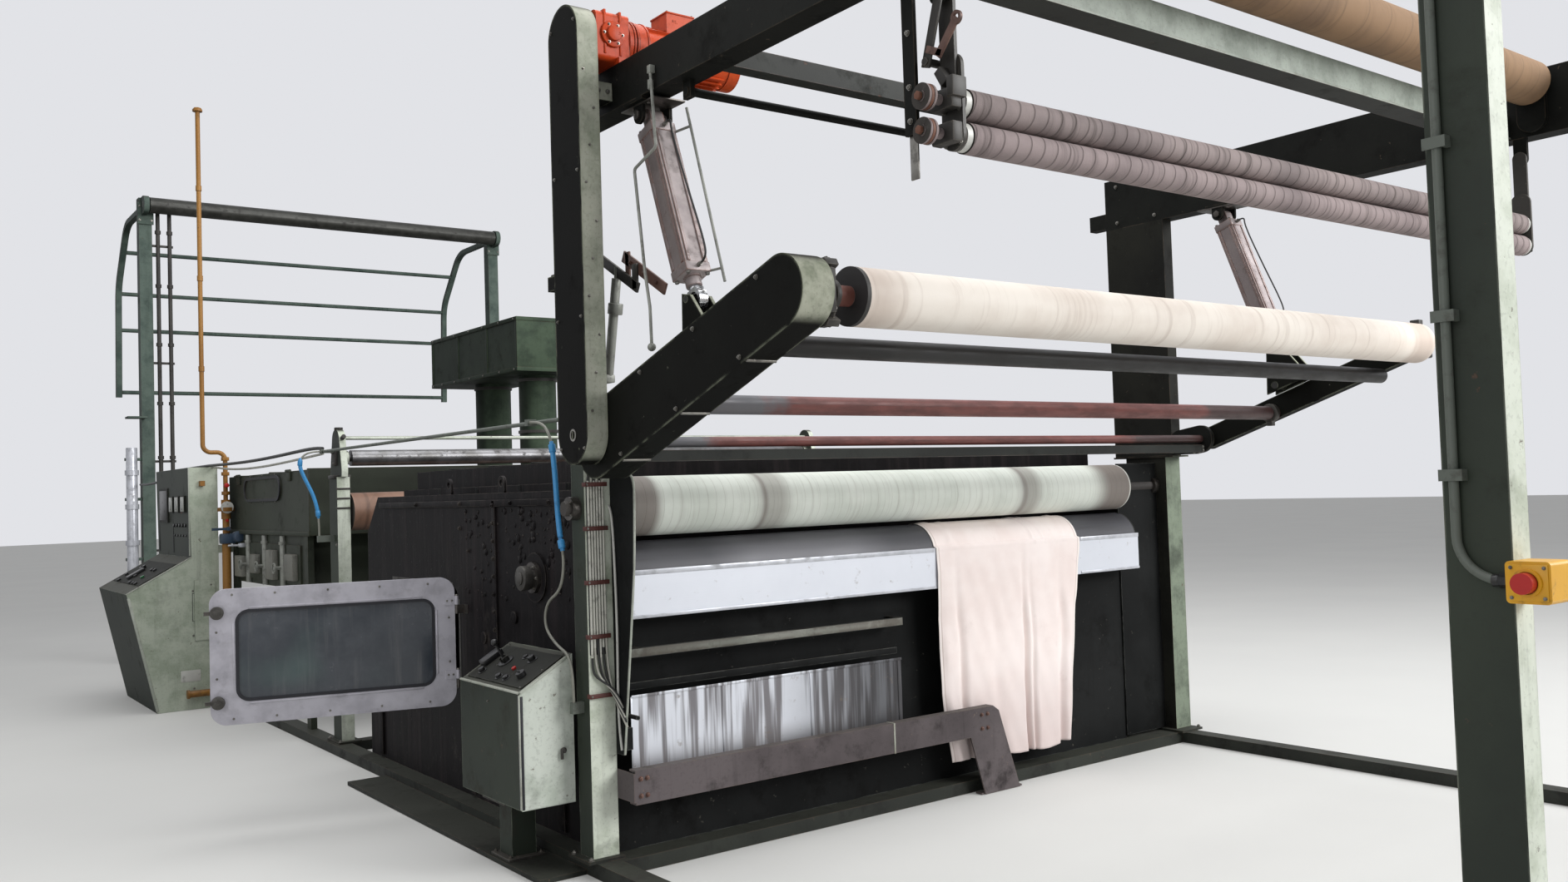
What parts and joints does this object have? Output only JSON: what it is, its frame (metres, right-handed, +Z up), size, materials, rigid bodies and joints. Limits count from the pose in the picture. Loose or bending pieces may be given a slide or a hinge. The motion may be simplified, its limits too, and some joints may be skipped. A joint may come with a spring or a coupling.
{
  "type": "textile bleaching line",
  "caption": "Wide cloth bleaching line: bath with hatch, singeing hood, consoles, roller tower, and a tall delivery frame with press arm, wrapped plaiter rollers and draped cloth.",
  "frame": {"origin": "on the floor under the middle of the delivery end's rear cross sill, in line with the front face of the near rear post", "axes": "+X across the cloth away from the operator's side, +Y along the line away from the delivery end, +Z up"},
  "size_m": [5.0106, 14.735, 4.69],
  "materials": {
    "frame_green": "worn grey-green paint",
    "dark_beam": "dark dusty paint",
    "guard_paint": "dark paint with pale worn edge",
    "orange_paint": "orange enamel",
    "dark_steel": "oily steel",
    "cover_black": "dull black",
    "stainless": "streaked stainless",
    "recess_dark": "dark paint",
    "rail_brown": "brown scuffed",
    "cloth": "woven cotton",
    "tank_dark": "tarry dark coating",
    "hinge_steel": "worn",
    "hood_green": "dark green paint",
    "console_green": "light grey-green paint",
    "panel_dark": "dark panel",
    "gas_orange": "ochre pipe paint",
    "cable_grey": "grey cable",
    "stop_yellow": "yellow",
    "stop_red": "red",
    "tower_green": "green paint",
    "exhaust_green": "green paint",
    "hose_blue": "blue hose",
    "arm_dark": "dark paint, worn",
    "arm_tube": "dark tube",
    "roller_cream": "cream covering",
    "roller_white": "white wrapped covering",
    "roller_mauve": "spiral tape",
    "roller_red": "red-brown",
    "roller_board": "brown board",
    "roller_steel": "steel",
    "roller_copper": "brown",
    "plate_dark": "dark plate",
    "hatch_grey": "cast light grey frame",
    "hatch_glass": "smoky glass",
    "seal_black": "seal",
    "latch_steel": "worn knob",
    "cylinder_grey": "dusty profile",
    "rod_chrome": "rod",
    "knob_black": "black",
    "button_green": "green",
    "handle_blue": "blue-grey"
  },
  "bodies": {
    "frame": {"base_frame": "frame_green", "posts": "frame_green", "far_upright": "frame_green", "top_beams": "dark_beam", "cross_beams": "frame_green", "beam_brackets": "dark_beam", "drive_guard": "guard_paint", "gear_motor": "orange_paint", "roller_bearings": "dark_steel", "round_cover": "cover_black", "fascia_panels": "stainless", "recess_panels": "recess_dark", "step_rail": "rail_brown", "cloth": "cloth", "tank": "tank_dark", "tank_cover": "tank_dark", "hatch_hinges": "hinge_steel", "mid_posts": "frame_green", "singe_hood": "hood_green", "burner_case": "hood_green", "console": "console_green", "control_panels": "panel_dark", "gas_line": "gas_orange", "desk": "console_green", "cables": "cable_grey", "stop_box": "stop_yellow", "tower": "tower_green", "exhaust": "exhaust_green", "near_hose": "hose_blue", "rear_hose": "hose_blue"},
    "press_arm": {"arm_near_case": "arm_dark", "arm_far_bar": "arm_dark", "arm_tubes": "arm_tube"},
    "press_roller": {"press_roller": "roller_cream"},
    "arm_guide_roller": {"arm_guide_roller": "roller_red"},
    "draw_roller": {"draw_roller": "roller_white"},
    "plaiter": {"plaiter_plates": "plate_dark"},
    "plaiter_roller_low": {"plaiter_roller_low": "roller_mauve"},
    "plaiter_roller_high": {"plaiter_roller_high": "roller_mauve"},
    "batch_roller": {"batch_roller": "roller_board"},
    "squeeze_roller": {"squeeze_roller": "roller_steel"},
    "bath_roller": {"bath_roller": "roller_steel"},
    "hatch_door": {"hatch_frame": "hatch_grey", "hatch_glass": "hatch_glass", "hatch_seal": "seal_black"},
    "hatch_latch_high": {"hatch_latch_high": "latch_steel"},
    "hatch_latch_low": {"hatch_latch_low": "latch_steel"},
    "rear_guide_roller": {"rear_guide_roller": "roller_steel"},
    "brown_roller": {"brown_roller": "roller_copper"},
    "near_barrel": {"cylinder_barrel_near": "cylinder_grey"},
    "far_barrel": {"cylinder_barrel_far": "cylinder_grey"},
    "near_rod": {"cylinder_rod_near": "rod_chrome"},
    "far_rod": {"cylinder_rod_far": "rod_chrome"},
    "stop_button": {"stop_button": "stop_red"},
    "console_button": {"console_button": "button_green"},
    "console_dial": {"console_dial": "knob_black"},
    "gas_handle": {"gas_handle": "handle_blue"},
    "desk_knob": {"desk_knob": "knob_black"},
    "desk_lever": {"desk_lever": "knob_black"},
    "tower_roller": {"tower_roller": "roller_steel"}
  },
  "joints": [
    {"name": "arm_swing", "type": "hinge", "parent": "frame", "child": "press_arm", "pos_m": [0, -0.262, 1.745], "axis": [1, 0, 0], "range_deg": [0, 18]},
    {"name": "press_roller_spin", "type": "hinge", "parent": "press_arm", "child": "press_roller", "pos_m": [0, -1.49, 2.16], "axis": [1, 0, 0], "continuous": true},
    {"name": "arm_guide_spin", "type": "hinge", "parent": "press_arm", "child": "arm_guide_roller", "pos_m": [0, -0.68778, 1.86567], "axis": [1, 0, 0], "continuous": true},
    {"name": "draw_roller_spin", "type": "hinge", "parent": "frame", "child": "draw_roller", "pos_m": [0, 0.07, 1.488], "axis": [1, 0, 0], "continuous": true},
    {"name": "plaiter_swing", "type": "hinge", "parent": "frame", "child": "plaiter", "pos_m": [0, -2.045, 2.95], "axis": [1, 0, 0], "range_deg": [-18, 6]},
    {"name": "plaiter_low_spin", "type": "hinge", "parent": "plaiter", "child": "plaiter_roller_low", "pos_m": [0, -2.045, 2.543], "axis": [1, 0, 0], "continuous": true},
    {"name": "plaiter_high_spin", "type": "hinge", "parent": "plaiter", "child": "plaiter_roller_high", "pos_m": [0, -2.045, 2.641], "axis": [1, 0, 0], "continuous": true},
    {"name": "batch_roller_spin", "type": "hinge", "parent": "frame", "child": "batch_roller", "pos_m": [0, -2.11, 3.28], "axis": [1, 0, 0], "continuous": true},
    {"name": "squeeze_roller_spin", "type": "hinge", "parent": "frame", "child": "squeeze_roller", "pos_m": [0, 0.665, 1.176], "axis": [1, 0, 0], "continuous": true},
    {"name": "bath_roller_spin", "type": "hinge", "parent": "frame", "child": "bath_roller", "pos_m": [0, 2.08, 0.42], "axis": [1, 0, 0], "continuous": true},
    {"name": "hatch_swing", "type": "hinge", "parent": "frame", "child": "hatch_door", "pos_m": [-1.886, 1.508, 0.829], "axis": [0, 0, 1], "range_deg": [-74.3, 30]},
    {"name": "latch_high_turn", "type": "hinge", "parent": "hatch_door", "child": "hatch_latch_high", "pos_m": [-2.95452, 1.79381, 1.04], "axis": [-0.2706, -0.9627, 0], "range_deg": [0, 90]},
    {"name": "latch_low_turn", "type": "hinge", "parent": "hatch_door", "child": "hatch_latch_low", "pos_m": [-2.95452, 1.79381, 0.618], "axis": [-0.2706, -0.9627, 0], "range_deg": [0, 90]},
    {"name": "rear_guide_spin", "type": "hinge", "parent": "frame", "child": "rear_guide_roller", "pos_m": [0, 3.405, 1.819], "axis": [1, 0, 0], "continuous": true},
    {"name": "brown_roller_spin", "type": "hinge", "parent": "frame", "child": "brown_roller", "pos_m": [0, 3.405, 1.482], "axis": [1, 0, 0], "continuous": true},
    {"name": "near_barrel_swing", "type": "hinge", "parent": "frame", "child": "near_barrel", "pos_m": [-1.86, -0.475, 2.99], "axis": [1, 0, 0], "range_deg": [-4, 0.5]},
    {"name": "near_rod_slide", "type": "slide", "parent": "near_barrel", "child": "near_rod", "axis": [0, -0.3463, -0.9381], "range_m": [-0.001, 0.2135]},
    {"name": "far_barrel_swing", "type": "hinge", "parent": "frame", "child": "far_barrel", "pos_m": [1.855, -0.475, 2.99], "axis": [1, 0, 0], "range_deg": [-4, 0.5]},
    {"name": "far_rod_slide", "type": "slide", "parent": "far_barrel", "child": "far_rod", "axis": [0, -0.3463, -0.9381], "range_m": [-0.001, 0.2135]},
    {"name": "stop_button_press", "type": "slide", "parent": "frame", "child": "stop_button", "axis": [1, 0, 0], "range_m": [0, 0.006], "stiffness_N_per_m": 400},
    {"name": "console_button_press", "type": "slide", "parent": "frame", "child": "console_button", "axis": [0.4863, 0, -0.8738], "range_m": [0, 0.0025], "stiffness_N_per_m": 400},
    {"name": "console_dial_turn", "type": "hinge", "parent": "frame", "child": "console_dial", "pos_m": [-2.40313, 6.7, 1.06574], "axis": [-0.4863, 0, 0.8738], "range_deg": [-135, 135]},
    {"name": "gas_handle_turn", "type": "hinge", "parent": "frame", "child": "gas_handle", "pos_m": [-1.968, 5.762, 1.365], "axis": [0, 1, 0], "range_deg": [-90, 0]},
    {"name": "desk_knob_turn", "type": "hinge", "parent": "frame", "child": "desk_knob", "pos_m": [-2.13104, 0.25, 0.81229], "axis": [-0.507, 0, 0.8619], "range_deg": [-120, 120]},
    {"name": "desk_lever_tilt", "type": "hinge", "parent": "frame", "child": "desk_lever", "pos_m": [-2.08085, 0.52, 0.84529], "axis": [0, 1, 0], "range_deg": [-25, 25]},
    {"name": "tower_roller_spin", "type": "hinge", "parent": "frame", "child": "tower_roller", "pos_m": [0, 9.35, 4.6], "axis": [1, 0, 0], "continuous": true}
  ],
  "couplings": [
    {"joint": "plaiter_high_spin", "follows": "plaiter_low_spin", "ratio": -1},
    {"joint": "near_barrel_swing", "follows": "arm_swing", "ratio": -0.19587},
    {"joint": "near_rod_slide", "follows": "arm_swing", "m_per_rad": 0.67343},
    {"joint": "far_barrel_swing", "follows": "arm_swing", "ratio": -0.19587},
    {"joint": "far_rod_slide", "follows": "arm_swing", "m_per_rad": 0.67343}
  ]
}
